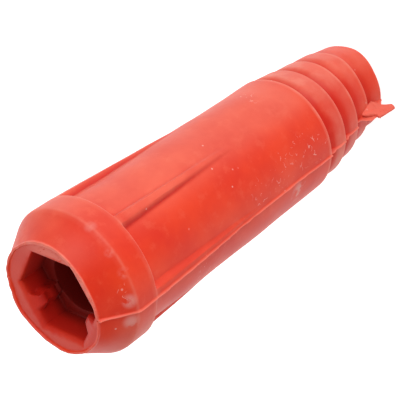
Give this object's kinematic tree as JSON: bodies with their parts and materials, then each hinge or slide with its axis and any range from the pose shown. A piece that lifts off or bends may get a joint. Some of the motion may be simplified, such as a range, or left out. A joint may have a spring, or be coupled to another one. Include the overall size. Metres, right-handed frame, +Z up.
{
  "type": "welding cable plug sleeve",
  "caption": "Hollow rubber sleeve that insulates a welding cable plug: hexagonal seat in a coned mouth, ribbed grip, ringed tapering tail with a cable bore.",
  "frame": {"origin": "bottom centre of the bounding box, on the sleeve's own axis and on the surface that its cable end stands on", "axes": "+Z up along the sleeve's own axis, from the cable end to the mouth. +X towards the plain panel between two ribs. The parting plane is the YZ plane"},
  "size_m": [0.0268, 0.0274, 0.0855],
  "materials": {
    "red_rubber": "satin, as moulded, with flash on the parting line"
  },
  "bodies": {
    "root": {"insulating_sleeve": "red_rubber"}
  },
  "joints": []
}
